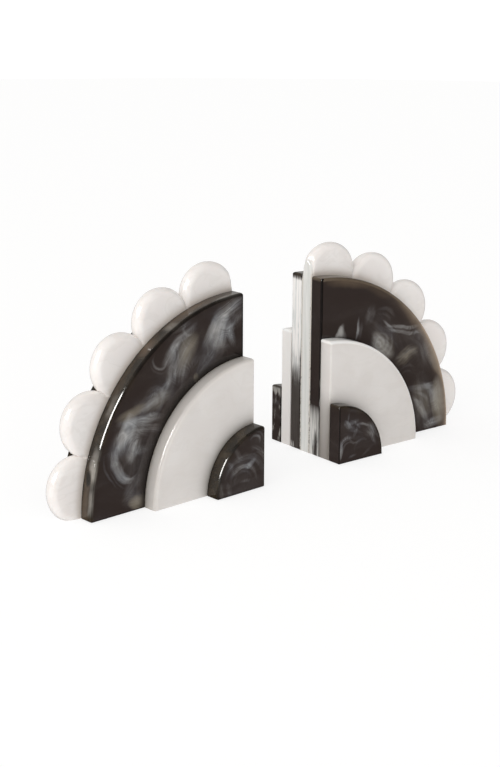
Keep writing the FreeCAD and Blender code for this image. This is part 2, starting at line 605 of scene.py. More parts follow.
def place(n, p, strokes, seed, y_mid=0.0, gain=1.0, fine=1.0):
    """strokes: dicts; kind wisp or curl. Angles in degrees, from +X (out from
    the book face) towards +Z. Returns the summed density."""
    acc = None
    for k, st in enumerate(strokes):
        st = dict(st)
        kind = st.pop("kind", "wisp")
        node = n.add("ShaderNodeGroup")
        node.node_tree = WISP if kind == "wisp" else CURL
        # each stroke waits for the one before it (the shift is a billionth of
        # the density), so that the whole face fits in one material
        v = p
        if acc is not None:
            v = n.add("ShaderNodeVectorMath", operation="MULTIPLY_ADD")
            n.put(v.inputs[0], acc)
            v.inputs[1].default_value = (1e-7, 1e-7, 1e-7)
            n.put(v.inputs[2], p)
            v = v.outputs[0]
        n.put(node.inputs["Vector"], v)
        at = st.pop("at")
        node.inputs["Centre"].default_value = (at[0], st.pop("y", y_mid), at[1])
        # rotating about +Y by a takes +Z towards +X, so +a lines the stroke up
        node.inputs["Angle"].default_value = math.radians(st.pop("ang", 0.0))
        names = {"len": "Half length", "wid": "Half width", "bend": "Bend", "sharp": "Sharp",
                 "along": "Along", "across": "Across", "streaks": "Streaks", "amp": "Strength",
                 "depth": "Depth", "arc": "Half arc", "rad": "Radius", "spiral": "Spiral",
                 "squash": "Squash"}
        node.inputs["Seed"].default_value = seed * 7.31 + k * 3.77
        st["amp"] = st["amp"] * gain
        st["across"] = st.get("across", 2.2) * fine
        for key, val in st.items():
            node.inputs[names[key]].default_value = math.radians(val) if key == "arc" else val
        acc = node.outputs[0] if acc is None else n.math("ADD", acc, node.outputs[0])
    return acc


def warp(n, p, seed, big=5.0, small=1.5):
    a = n.vmath("SUBTRACT", n.noise(n.vmath("ADD", p, (seed * 31.0, seed * 17.0, 5.0)),
                                    1 / 26.0, 1.0, 0.5, color=True), (0.5, 0.5, 0.5))
    q = n.vmath("ADD", p, n.vmath("SCALE", a, scale=big * 2))
    b = n.vmath("SUBTRACT", n.noise(n.vmath("ADD", q, (9.0, seed * 11.0, seed * 23.0)),
                                    1 / 7.5, 2.0, 0.55, color=True), (0.5, 0.5, 0.5))
    return n.vmath("ADD", q, n.vmath("SCALE", b, scale=small * 2))


def finish_resin(n, m, color, rough, bump_v, bump_mm, sss=None, coat=0.0, ior=1.5, spec=0.5):
    b = n.add("ShaderNodeBsdfPrincipled")
    n.put(b.inputs["Base Color"], color)
    n.put(b.inputs["Roughness"], rough)
    b.inputs["IOR"].default_value = ior
    b.inputs["Specular IOR Level"].default_value = spec
    b.inputs["Coat Weight"].default_value = coat
    b.inputs["Coat Roughness"].default_value = 0.04
    if sss:
        b.inputs["Subsurface Weight"].default_value = sss[0]
        b.inputs["Subsurface Radius"].default_value = sss[1]
        b.inputs["Subsurface Scale"].default_value = sss[2]
    bump = n.add("ShaderNodeBump")
    bump.inputs["Strength"].default_value = 1.0
    bump.inputs["Distance"].default_value = bump_mm * MM
    n.put(bump.inputs["Height"], bump_v)
    n.put(b.inputs["Normal"], bump.outputs[0])
    out = n.add("ShaderNodeOutputMaterial")
    n.put(out.inputs["Surface"], b.outputs[0])


def wear_and_shade_masks(n, p, radius, y_open, y_bond):
    """Masks from a slab's own coordinates: rim wall, exposed edge, bonded edge."""
    s = n.sep(p)
    r = n.math("SQRT", n.math("MULTIPLY_ADD", s[0], s[0], n.math("MULTIPLY", s[2], s[2])))
    d_rim = n.math("SUBTRACT", radius, r)
    rim = n.ramp(d_rim, 2.6, 0.5)
    side = n.math("MINIMUM", n.math("MINIMUM", d_rim, s[0]), s[2])
    d_open = n.math("ABSOLUTE", n.math("SUBTRACT", s[1], y_open))
    d_bond = n.math("ABSOLUTE", n.math("SUBTRACT", s[1], y_bond))
    edge = n.ramp(n.math("MAXIMUM", side, d_open), 2.2, 0.5)
    line = n.math("MAXIMUM", side, d_open)
    seam = n.math("MULTIPLY", n.ramp(d_bond, 1.3, 0.3), n.ramp(side, 1.2, 0.4))
    return s, d_rim, rim, edge, seam, line


def smoke_mat(name, side, radius, y_open, y_bond, cool, warm, seed, rim_cool=(), rim_warm=(),
              glow=(), white=(), haze=0.06, base=(0.0300, 0.0208, 0.0180, 1), big=5.0, small=1.5,
              veil=0.0, band=0.35, lit_edge_gain=0.0,
              gain=1.0, ink=(), painted_dark_edge_gain=0.75, step_shade=None, bits=0.0, face_line=False,
              rim_lift=0.0, ink_tone=(0.030, 0.024, 0.022, 1), cool_tint=0.13, sand_tint=0.12,
              rim_glow=0.0, rim_rough=0.0, dark_strip=False, dim_white=False):
    m = new_mat(name)
    n = Net(m.node_tree)
    p = local_mm(n, side)
    w = warp(n, p, seed, big, small)
    calm = warp(n, p, seed + 0.7, 4.0, 0.35)
    y_mid = (y_open + y_bond) / 2
    dc = place(n, w, cool, seed, y_mid, gain)
    dw = place(n, w, warm, seed + 5, y_mid) if warm else 0.0
    s, d_rim, rim, edge, seam, line = wear_and_shade_masks(n, p, radius, y_open, y_bond)
    if dark_strip:
        # the smoke is thinned within 1.6 mm of the book face, which leaves a darker strip there
        dc = n.math("MULTIPLY", dc, n.ramp(s[0], 0.2, 1.6, 0.12, 1.0))
    # thin haze everywhere, in slow drifting bands
    stretch = n.add("ShaderNodeMapping", vector_type="POINT")
    n.put(stretch.inputs["Vector"], w)
    stretch.inputs["Rotation"].default_value = (0, math.radians(38 + seed * 20), 0)
    stretch.inputs["Scale"].default_value = (0.016, 0.05, 0.06)
    hz = n.noise(n.vmath("ADD", stretch.outputs[0], (seed * 3.1, 0.0, seed)), 1.0, 5.0, 0.55, 0.9)
    dc = n.math("ADD", dc, n.math("MULTIPLY", n.ramp(hz, 0.40, 0.78), haze))
    if veil:
        dc = n.math("ADD", dc, n.math("MULTIPLY", n.ramp(hz, 0.2, 0.8, 0.4, 1.3), veil))
    # folded filaments inside the smoke, and contour-like veins where it thickens
    fold = n.noise(n.vmath("ADD", calm, (0.0, seed, 0.0)), 0.085, 2.0, 0.45, 0.9)
    dc = n.math("MULTIPLY", dc, n.ramp(fold, 0.25, 0.75, 0.80, 1.20, smooth=False))
    vein = n.ramp(n.math("ABSOLUTE", n.math("SUBTRACT", fold, 0.5)), 0.0, 0.035, 1.0, 0.0)
    some = n.ramp(dc, 0.05, 0.5)
    dc = n.math("MULTIPLY_ADD", n.math("MULTIPLY", vein, some), 0.06, dc)
    flow = n.noise(n.vmath("ADD", calm, (seed * 2.0, 0.0, 40.0)), 0.036, 1.0, 0.4, 0.8)
    turn = n.math("FRACT", n.math("MULTIPLY", flow, 24.0))
    turn = n.math("MULTIPLY", n.math("ABSOLUTE", n.math("SUBTRACT", turn, 0.5)), 2.0)
    fade = n.ramp(n.noise(n.vmath("ADD", w, (60.0, 0.0, seed)), 0.07, 2.0, 0.5), 0.35, 0.65)
    lines = n.math("MULTIPLY", n.math("SUBTRACT", n.ramp(turn, 0.25, 1.0), 0.42), fade)
    dc = n.math("MULTIPLY", dc, n.math("MULTIPLY_ADD", lines, 0.34, 1.0))
    # thick smoke saturates instead of adding up
    dc = n.math("SUBTRACT", 1.0, n.math("EXPONENT", n.math("MULTIPLY", dc, -1.45)))
    cr = n.add("ShaderNodeValToRGB")
    cr.color_ramp.interpolation = "B_SPLINE"
    e = cr.color_ramp.elements
    e[0].position, e[0].color = 0.0, base
    e[1].position, e[1].color = 1.0, (0.64, 0.63, 0.615, 1)
    for pos, col in ((0.16, (0.043, 0.0345, 0.0325, 1)), (0.36, (0.098, 0.089, 0.088, 1)),
                     (0.60, (0.225, 0.226, 0.228, 1)), (0.82, (0.42, 0.418, 0.412, 1))):
        q = e.new(pos)
        q.color = col
    n.put(cr.inputs[0], dc)
    col = cr.outputs[0]
    tint = n.ramp(n.noise(n.vmath("ADD", p, (3.0, seed * 2.0, 1.0)), 1 / 19.0, 2.0, 0.5),
                  0.36, 0.64)
    blue = n.mix(n.math("MULTIPLY", dc, cool_tint), col, (0.16, 0.215, 0.30, 1))
    sand = n.mix(n.math("MULTIPLY", dc, sand_tint), col, (0.30, 0.235, 0.16, 1))
    col = n.mix(tint, blue, sand)
    if warm:
        col = n.mix(n.math("SUBTRACT", 1.0, n.math("EXPONENT", n.math("MULTIPLY", dw, -1.2))),
                    col, (0.30, 0.262, 0.20, 1))
    if white or ink:
        pull = n.noise(n.comb(0.0, n.math("MULTIPLY", s[1], 0.55),
                              n.math("MULTIPLY", s[2], 0.03)), 1.0, 4.0, 0.62, 0.6)
    snow = (0.64, 0.66, 0.655, 1), (0.92, 0.895, 0.87, 1)
    if dim_white:
        snow = (0.47, 0.475, 0.46, 1), (0.70, 0.68, 0.65, 1)
    if white:
        # nearly opaque white resin, poured in before it could blend
        wd = place(n, w, white, seed + 17, y_mid)
        wd = n.math("MULTIPLY", wd, n.ramp(pull, 0.3, 0.6, 0.6, 1.5))
        wd = n.math("MULTIPLY", wd, n.ramp(s[2], 151.0, 145.5))
        wd = n.math("SUBTRACT", 1.0, n.math("EXPONENT", n.math("MULTIPLY", wd, -2.6)))
        pale = n.mix(n.ramp(pull, 0.3, 0.55), snow[0], snow[1])
        col = n.mix(wd, col, pale)
    if ink:
        dk = n.math("MULTIPLY", place(n, w, ink, seed + 19, y_mid), n.ramp(pull, 0.62, 0.4, 0.4, 1.4))
        dk = n.math("SUBTRACT", 1.0, n.math("EXPONENT", n.math("MULTIPLY", dk, -2.6)))
        col = n.mix(dk, col, ink_tone)
    if bits:
        # small light chips where the sawn face cut through folds
        at_edge = n.ramp(n.math("ABSOLUTE", n.math("SUBTRACT", s[1], y_mid)), 3.0, 6.3)
        slant = n.math("MULTIPLY_ADD", s[1], 0.6, s[2])
        chip = n.noise(n.comb(seed + 3.0, n.math("MULTIPLY", s[1], 0.16), n.math("MULTIPLY", slant, 0.050)),
                       1.0, 5.0, 0.66, 0.5)
        high = n.ramp(s[2], 39.0, 48.0, 0.0, 0.23)
        chip = n.ramp(n.math("ADD", n.math("MULTIPLY_ADD", at_edge, 0.10, chip), high), 0.56, 0.70)
        chip = n.math("MULTIPLY", chip, n.ramp(s[0], 1.6, 0.4))
        col = n.mix(n.math("MULTIPLY", chip, bits), col, (0.44, 0.42, 0.39, 1))
    # translucent brown along the rim and the thin edges, with its own clouds
    vary = n.noise(n.vmath("ADD", p, (seed * 5.0, 2.0, 8.0)), 1 / 13.0, 3.0, 0.55, 0.5)
    brown = n.mix(n.ramp(vary, 0.38, 0.68), (0.0105, 0.0075, 0.0036, 1), (0.042, 0.031, 0.019, 1))
    near_rim = n.math("MULTIPLY", n.ramp(d_rim, 7.5, 1.0), n.ramp(vary, 0.3, 0.7, 0.5, 1.0))
    col = n.mix(n.math("MULTIPLY", near_rim, band), col, brown)
    # painted light: a thin pale line along the arc edge
    lit_edge = n.math("MULTIPLY", n.ramp(d_rim, 3.4, 1.4), n.ramp(vary, 0.25, 0.65, 0.35, 1.0))
    col = n.mix(n.math("MULTIPLY", lit_edge, lit_edge_gain), col, (0.20, 0.155, 0.115, 1))
    if glow:
        gl = n.math("MINIMUM", place(n, w, glow, seed + 13, y_mid), 1.0)
        col = n.mix(gl, col, (0.135, 0.098, 0.068, 1))
    if rim_glow:
        # light gathers in the thin edge, most of all low on the arc
        gl = n.math("EXPONENT", n.math("MULTIPLY", n.math("MAXIMUM", d_rim, 0.0), -1 / 2.7))
        gl = n.math("MULTIPLY", gl, n.ramp(s[2], 138.0, 84.0, 0.0, 1.0))
        gl = n.math("MULTIPLY", gl, n.ramp(vary, 0.3, 0.7, 0.75, 1.05))
        col = n.mix(n.math("MULTIPLY", gl, rim_glow), col, (0.76, 0.60, 0.46, 1))
    wall = n.ramp(n.math("ABSOLUTE", n.math("SUBTRACT", s[1], y_bond)), 9.5, 3.0)
    brown = n.mix(n.math("MULTIPLY", wall, 0.16), brown, (0.085, 0.064, 0.046, 1))
    if rim_lift:
        # here the rim is thin enough for light to glow through
        brown = n.mix(n.ramp(s[2], 150.0, 60.0, 0.35 * rim_lift, rim_lift), brown,
                      (0.30, 0.235, 0.175, 1))
    if rim_glow:
        brown = n.mix(n.ramp(s[2], 116.0, 82.0, 0.0, 0.75), brown, (0.66, 0.53, 0.41, 1))
    col = n.mix(n.math("MULTIPLY", rim, 0.95), col, brown)
    if rim_cool:
        rc = n.math("MULTIPLY", n.math("MINIMUM", place(n, w, rim_cool, seed + 9), 1.0), rim)
        col = n.mix(rc, col, (0.40, 0.375, 0.34, 1))
    if rim_warm:
        rw = n.math("MULTIPLY", n.math("MINIMUM", place(n, w, rim_warm, seed + 11), 1.0), rim)
        col = n.mix(rw, col, (0.128, 0.088, 0.060, 1))
        rk = n.math("MULTIPLY", n.math("MINIMUM", place(n, w, LEFT_RIM_INK, seed + 21), 1.0), rim)
        col = n.mix(rk, col, (0.009, 0.007, 0.004, 1))
    # seams darken, and a painted dark reflection runs along the exposed edges; those edges are also rubbed a
    # little paler and duller
    painted_dark_edge = n.ramp(line, 1.25, 0.75)
    if rim_warm:
        # on the side that takes the highlight the painted dark reflection widens towards the top
        painted_dark_edge = n.math("MAXIMUM", painted_dark_edge, n.math("MULTIPLY", n.ramp(line, 2.7, 1.5), n.ramp(s[2], 88.0, 112.0)))
    if face_line:
        # here the painted dark edge is kept to a thin line beside the book face
        painted_dark_edge = n.math("MULTIPLY", n.ramp(line, 1.8, 1.35), n.ramp(s[0], 3.4, 2.2))
    line = painted_dark_edge
    thin = n.math("SUBTRACT", 1.0, n.math("MULTIPLY", wd, 0.95)) if white else 1.0
    col = n.mix(n.math("MULTIPLY", n.math("MULTIPLY", seam, 0.85), thin), col,
                (0.006, 0.0045, 0.004, 1))
    col = n.mix(n.math("MULTIPLY", n.math("MULTIPLY", line, painted_dark_edge_gain), thin), col,
                (0.007, 0.005, 0.0045, 1))
    if step_shade:
        # painted shade on this face where the next slab stands on it
        out = n.math("SUBTRACT", radius - step_shade[0], d_rim)
        out = n.ramp(out, n.math("MULTIPLY", n.ramp(vary, 0.3, 0.7, 0.7, 1.2), step_shade[1]), 0.0)
        open_face = n.ramp(n.math("ABSOLUTE", n.math("SUBTRACT", s[1], y_open)), 1.6, 0.4)
        out = n.math("MULTIPLY", n.math("MULTIPLY", n.math("MULTIPLY", out, out), step_shade[2]), open_face)
        col = n.mix(out, col, (0.006, 0.0042, 0.0030, 1))
    rub = n.noise(p, 0.9, 3.0, 0.6)
    worn = n.math("MULTIPLY", edge, n.ramp(rub, 0.55, 0.75))
    col = n.mix(n.math("MULTIPLY", worn, 0.10), col, (0.20, 0.17, 0.14, 1))
    smear = n.noise(n.vmath("MULTIPLY", p, (0.03, 0.1, 0.11)), 1.0, 4.0, 0.6, 0.5)
    rough = n.ramp(smear, 0.3, 0.75, 0.05, 0.11)
    rough = n.math("MULTIPLY_ADD", worn, 0.10, rough)
    if rim_rough:
        rough = n.math("MULTIPLY_ADD", edge, rim_rough, rough)
    wav = n.noise(p, 1 / 22.0, 1.0, 0.4)
    wav = n.math("ADD", wav, n.math("MULTIPLY", n.noise(p, 0.6, 2.0, 0.6), 0.010))
    finish_resin(n, m, col, rough, wav, 0.20)
    return m


def pearl_mat(name, side, radius, y_open, y_bond, seed, is_core=False, corner=1.0, lit_edge=0.0, foot=False):
    m = new_mat(name)
    n = Net(m.node_tree)
    p = local_mm(n, side)
    w = warp(n, p, seed, 9.0, 2.5)
    st = n.add("ShaderNodeMapping", vector_type="POINT")
    n.put(st.inputs["Vector"], w)
    st.inputs["Rotation"].default_value = (0, math.radians(25 + 31 * seed), 0)
    st.inputs["Scale"].default_value = (0.012, 0.05, 0.045)
    cloud = n.noise(n.vmath("ADD", st.outputs[0], (seed, seed * 2.0, 0.0)), 1.0, 4.0, 0.55, 0.8)
    veins = n.ramp(n.math("ABSOLUTE", n.math("SUBTRACT", cloud, 0.5)), 0.0, 0.05, 1.0, 0.0)
    cloud2 = n.noise(n.vmath("ADD", w, (seed * 4.0, 0.0, 9.0)), 1 / 28.0, 3.0, 0.5, 0.4)
    if is_core:
        lo, hi_ = (0.88, 0.840, 0.818, 1), (0.915, 0.882, 0.860, 1)
    else:
        lo, hi_ = (0.735, 0.704, 0.680, 1), (0.775, 0.747, 0.724, 1)
    col = n.mix(n.ramp(cloud2, 0.3, 0.7), lo, hi_)
    col = n.mix(n.math("MULTIPLY", veins, 0.13), col, (0.64, 0.60, 0.56, 1))
    s = n.sep(p)
    if is_core:
        # the sawn and polished book face shows upright streaks, cooler in tone
        face = n.ramp(s[0], 2.6, 0.5)
        sv = n.noise(n.comb(0.0, n.math("MULTIPLY", s[1], 0.6), n.math("MULTIPLY", s[2], 0.018)),
                     1.0, 4.0, 0.6, 0.5)
        streak = n.mix(n.ramp(sv, 0.30, 0.60), (0.60, 0.62, 0.595, 1), (0.765, 0.77, 0.745, 1))
        col = n.mix(n.math("MULTIPLY", face, 0.75), col, streak)
        # painted shade: the scallops darken and warm towards the large slabs' rim
        r = n.math("SQRT", n.math("MULTIPLY_ADD", s[0], s[0], n.math("MULTIPLY", s[2], s[2])))
        flat = n.ramp(n.math("ABSOLUTE", s[1]), 2.5, 6.2)
        lobe_rim_shade = n.math("MULTIPLY", n.ramp(r, 163.0, 151.8), flat)
        lobe_rim_shade = n.math("MULTIPLY", lobe_rim_shade, lobe_rim_shade)
        col = n.mix(n.math("MULTIPLY", lobe_rim_shade, 0.62), col, (0.50, 0.425, 0.355, 1))
        fleck = n.noise(n.comb(n.math("MULTIPLY", s[0], 0.3), n.math("MULTIPLY", s[1], 0.9),
                               n.math("MULTIPLY", s[2], 0.32)), 1.0, 4.0, 0.65, 0.4)
        low = n.ramp(s[2], 95.0, 20.0)
        at_edge = n.ramp(n.math("ABSOLUTE", s[1]), 4.0, 6.2)
        fleck = n.ramp(n.math("ADD", fleck, n.math("MULTIPLY", n.math("MULTIPLY", low, at_edge), 0.13)),
                       0.60, 0.66)
        fleck = n.math("MULTIPLY", n.math("MULTIPLY", fleck, face), n.ramp(at_edge, 0.05, 0.5))
        col = n.mix(n.math("MULTIPLY", fleck, 0.8), col, (0.10, 0.085, 0.075, 1))
        rough = 0.0
    else:
        s, d_rim, rim, edge, seam, line = wear_and_shade_masks(n, p, radius, y_open, y_bond)
        # painted shade: warmer and darker towards the rim and the foot
        near_rim = n.ramp(d_rim, 9.0, 0.0)
        col = n.mix(n.math("MULTIPLY", near_rim, 0.22), col, (0.66, 0.615, 0.57, 1))
        col = n.mix(n.ramp(s[2], 45.0, 0.0, 0.0, 0.16), col, (0.64, 0.60, 0.565, 1))
        rub = n.noise(p, 0.9, 3.0, 0.6)
        worn = n.math("MULTIPLY", edge, n.ramp(rub, 0.5, 0.75))
        col = n.mix(n.math("MULTIPLY", worn, 0.10), col, (0.56, 0.52, 0.48, 1))
        col = n.mix(n.math("MULTIPLY", seam, 0.45), col, (0.30, 0.27, 0.24, 1))
        d_bond = n.math("ABSOLUTE", n.math("SUBTRACT", s[1], y_bond))
        # painted shade at the root of the rim, next to the bonded slab; corner scales it
        rim_base_shade = n.math("EXPONENT", n.math("MULTIPLY", d_bond, -1 / 3.4))
        rim_base_shade = n.math("MULTIPLY", n.math("MULTIPLY_ADD", rim_base_shade, 0.72, 0.13), n.ramp(d_rim, 2.2, 0.6))
        col = n.mix(n.math("MULTIPLY", rim_base_shade, corner), col, (0.13, 0.113, 0.090, 1))
        if side == "right" and not foot:
            # painted light on the sawn book face, paler towards the top
            strip_face = n.math("MULTIPLY", n.ramp(s[0], 3.0, 0.2), n.ramp(s[2], 0.0, 70.0, 0.22, 0.66))
            col = n.mix(strip_face, col, (0.92, 0.895, 0.875, 1))
        if foot:
            # painted shade on the sawn book face, darker towards the foot and into both corners
            d_open = n.math("ABSOLUTE", n.math("SUBTRACT", s[1], y_open))
            foot_shade = n.math("ADD", n.ramp(s[2], 66.0, 36.0, 0.0, 0.50), n.ramp(s[2], 42.0, 0.0, 0.0, 0.24))
            corner_shade = n.math("EXPONENT", n.math("MULTIPLY", d_bond, -1 / 2.4))
            foot_shade = n.math("ADD", foot_shade, n.math("MULTIPLY", corner_shade, 0.34))
            corner_shade = n.math("EXPONENT", n.math("MULTIPLY", d_open, -1 / 3.0))
            corner_shade = n.math("MULTIPLY", corner_shade, n.ramp(s[2], 56.0, 43.0))
            foot_shade = n.math("ADD", foot_shade, n.math("MULTIPLY", corner_shade, 0.40))
            strip_face = n.ramp(s[0], 3.0, 0.2)
            col = n.mix(n.math("MULTIPLY", strip_face, n.math("MINIMUM", foot_shade, 0.95)), col,
                        (0.20, 0.178, 0.158, 1))
            # painted shade: the far side of the arch a little darker
            col = n.mix(n.ramp(s[0], 20.0, 96.0, 0.0, 0.16), col, (0.42, 0.39, 0.36, 1))
        # painted shade on the face where the small slab stands on it; corner scales it
        out = n.math("SUBTRACT", radius - R_SMALL, d_rim)
        out = n.math("EXPONENT", n.math("MULTIPLY", n.math("MAXIMUM", out, 0.0), -1 / 4.2))
        face = n.ramp(n.math("ABSOLUTE", n.math("SUBTRACT", s[1], y_open)), 1.6, 0.4)
        out = n.math("MULTIPLY", n.math("MULTIPLY", out, face), 0.70 * corner)
        col = n.mix(out, col, (0.15, 0.130, 0.105, 1))
        if lit_edge:
            # painted highlight along the arc edge
            painted_lit_edge = n.math("MULTIPLY", n.ramp(d_rim, 3.0, 1.3), lit_edge)
            col = n.mix(painted_lit_edge, col, (0.97, 0.955, 0.94, 1))
        rough = n.math("ADD", n.math("MULTIPLY", worn, 0.12), n.math("MULTIPLY", edge, 0.42))
    smear = n.noise(n.vmath("MULTIPLY", p, (0.04, 0.1, 0.12)), 1.0, 4.0, 0.6, 0.5)
    rough = n.math("ADD", n.ramp(smear, 0.3, 0.75, 0.08, 0.15), rough)
    wav = n.math("ADD", n.noise(p, 1 / 20.0, 1.0, 0.4),
                 n.math("MULTIPLY", n.noise(p, 0.5, 2.0, 0.6), 0.012))
    finish_resin(n, m, col, rough, wav, 0.20, sss=(0.4, (1.0, 0.93, 0.87), 0.003), spec=0.5 if is_core else 0.26)
    return m


def W(x, z, ang, ln, wd, amp, **k):
    return dict(kind="wisp", at=(x, z), ang=ang, len=ln, wid=wd, amp=amp, **k)


def C(x, z, rad, ang, arc, wd, amp, **k):
    return dict(kind="curl", at=(x, z), rad=rad, ang=ang, arc=arc, wid=wd, amp=amp, **k)


# Marbling of each face. X is out from the book face, Z up, both in mm.
LEFT_LARGE_COOL = [
    # broad, thin haze under the brighter strokes
    W(26, 124, -70, 26, 18.0, 0.30, streaks=0.5, along=0.5, across=3.0),
    W(64, 114, -52, 34, 20.0, 0.34, streaks=0.6, along=0.5, across=4.0),
    W(90, 84, -20, 30, 15.0, 0.30, streaks=0.6, along=0.5, across=3.4),
    W(112, 52, -80, 40, 22.0, 0.36, streaks=0.5, along=0.5, across=4.0),
    W(45, 105, -40, 26, 12.0, 0.22, streaks=0.6, along=0.5, across=3.0),
    # fan under the top corner: a crisp edge on its outer side
    W(35, 129, -61, 15, 9.5, 1.15, sharp=2.4, streaks=0.5, along=0.4, across=3.0),
    W(25, 126, -74, 16, 12.5, 1.30, streaks=0.45, along=0.5, across=3.4),
    W(24, 133, -48, 14, 6.0, 0.55, streaks=0.6, along=0.4, across=2.4),
    W(13.0, 121, 80, 11, 5.0, 1.05, streaks=0.5, along=0.5, across=1.6, bend=0.5),
    W(15, 143, -24, 22, 8.5, 0.90, streaks=0.8, along=0.3, across=3.4),
    W(10, 132, -34, 18, 8.0, 0.42, streaks=0.8, along=0.3, across=3.4),
    W(28, 114, 6, 17, 6.0, 0.38, streaks=0.5, along=0.6, across=2.0),
    W(41, 103, -53, 15, 6.0, 0.44, streaks=0.6, along=0.4, across=2.0),
    W(30, 106, -30, 14, 5.0, 0.22, streaks=0.6, along=0.4, across=2.0),
    # band from the rim down to the middle
    W(68, 136, -22, 18, 5.5, 0.50, streaks=0.6, along=0.5, across=2.0),
    C(56, 134, 5.4, -30, 110, 1.7, 0.42, streaks=0.4, along=0.8, across=1.0),
    W(64, 127.5, -35, 20, 5.6, 1.05, streaks=0.5, along=0.45, across=2.0, sharp=1.5, bend=-0.3),
    W(74, 117, -44, 15, 5.5, 0.95, streaks=0.5, along=0.5, across=2.0),
    C(84.5, 113, 6.6, -70, 125, 1.7, 0.58, streaks=0.3, spiral=0.8, along=0.8, across=1.0),
    C(84.5, 113, 9.6, -60, 70, 1.4, 0.20, streaks=0.3, along=0.8, across=1.0),
    W(73, 103, -76, 16, 8.0, 0.85, streaks=0.65, along=0.45, across=3.0),
    W(60, 113, -60, 20, 13.0, 0.52, streaks=0.65, along=0.4, across=4.0),
    W(62, 98, -66, 14, 6.0, 0.46, streaks=0.7, along=0.4, across=2.4),
    W(80, 92, -62, 12, 5.0, 0.50, streaks=0.6, along=0.5, across=2.0),
    # grey swirl in the middle
    W(90, 83, -14, 21, 9.5, 0.50, streaks=0.5, along=0.6, across=2.6),
    C(93, 82, 10.0, 175, 150, 3.4, 0.34, streaks=0.5, along=1.2, across=1.4),
    C(93, 82, 5.0, 150, 130, 2.0, 0.26, streaks=0.4, along=1.2, across=1.2),
    W(93, 81.5, 2, 8, 3.6, 0.34, streaks=0.4),
    # lower cloud: wedge with a crisp outer edge, sweeping in to the right
    W(119, 66, -67, 18, 12.5, 1.45, sharp=2.3, streaks=0.3, along=0.5, across=2.2),
    W(124, 54, -84, 14, 7.0, 0.70, streaks=0.5, along=0.5, across=2.2),
    W(104, 70.5, 2, 26, 5.6, 1.15, streaks=0.4, along=0.35, across=1.8, sharp=1.3),
    W(98, 63, 10, 22, 4.6, 0.62, streaks=0.7, along=0.3, across=2.4, bend=-0.4),
    C(109, 44, 17.0, 78, 62, 6.5, 0.80, streaks=0.75, along=0.6, across=2.8),
    W(112, 48.5, -55, 12, 8.5, 1.15, streaks=0.5, along=0.8, across=2.6, sharp=1.2),
    W(104, 46, 20, 7, 4.5, 0.55, streaks=0.5, along=0.8, across=1.8),
    # the hook closing the cloud below
    C(110, 44, 19.0, -34, 62, 5.0, 1.30, streaks=0.45, along=0.6, across=2.0, spiral=0.6),
    C(110, 44, 28.5, -20, 34, 1.6, 0.34, streaks=0.3, along=0.8, across=0.8),
    C(110, 44, 25.0, -42, 30, 1.3, 0.22, streaks=0.3, along=0.8, across=0.8),
    C(114, 35, 8.0, -70, 120, 1.4, 0.40, streaks=0.4, along=1.0, across=0.8),
    C(112, 38, 12.0, -50, 70, 1.6, 0.30, streaks=0.4, along=1.0, across=0.8),
    W(130, 50, -80, 18, 6.0, 0.36, streaks=0.5, along=0.6, across=1.6),
    W(113, 20, -42, 14, 7.0, 0.40, streaks=0.5, along=0.5, across=2.0),
    W(111, 9, 8, 14, 9.0, 0.42, streaks=0.3, along=0.8, across=1.6),
]
LEFT_LARGE_WARM = [
    W(57, 116, -60, 18, 10.0, 0.52, streaks=0.45, along=0.5, across=2.2),
    W(49, 92, 70, 5, 3.4, 0.60, streaks=0.4),
    W(113, 78, -15, 17, 5.5, 0.50, streaks=0.3),
    W(107, 6, 8, 12, 7.0, 0.80, streaks=0.3),
    W(88, 82, -20, 16, 8.0, 0.22, streaks=0.5),
]
LEFT_RIM_COOL = [
    W(147, 42, -74, 17, 12.0, 0.85, streaks=0.35, y=-15.5, depth=5.0),
    W(152, 16, -86, 15, 9.0, 0.55, streaks=0.4, y=-17.2, depth=3.0),
    W(128, 84, -54, 12, 7.0, 0.30, streaks=0.6, y=-14, depth=4.0),
    W(14, 153, -6, 16, 8.0, 0.42, streaks=0.5, y=-15.5, depth=4.0),
    W(70, 135, -28, 9, 6.0, 0.45, streaks=0.6, y=-13.5, depth=5.0),
]
LEFT_RIM_WARM = [
    W(92, 123, -36, 10, 10.0, 0.90, streaks=0.2, y=-11, depth=6.0),
    W(46, 146, -17, 38, 10.0, 0.70, streaks=0.25, y=-9.5, depth=6.5),
    W(118, 96, -50, 12, 8.0, 0.25, streaks=0.4, y=-9.5, depth=5.0),
    W(151, 20, -82, 30, 9.0, 0.55, streaks=0.4, y=-11.0, depth=5.0),
]
LEFT_INK = [
    W(102, 38, 78, 16, 12.0, 0.7, streaks=0.4, along=0.6, across=2.0),
    W(117, 36, -40, 9, 5.0, 0.35, streaks=0.6, along=0.8, across=2.4),
]
LEFT_RIM_INK = [
    W(150, 33, -80, 8, 10.0, 1.6, streaks=0.1, y=-11.0, depth=3.6),
    W(148, 55, -80, 5, 10.0, 0.9, streaks=0.3, y=-9.5, depth=3.0),
    W(143, 66, -65, 9, 10.0, 0.5, streaks=0.4, y=-14.5, depth=2.4),
    W(78, 131, -30, 5, 6.0, 0.8, streaks=0.4, y=-13.0, depth=4.0),
    W(104, 112, -43, 9, 8.0, 0.9, streaks=0.4, y=-13.0, depth=5.0),
]
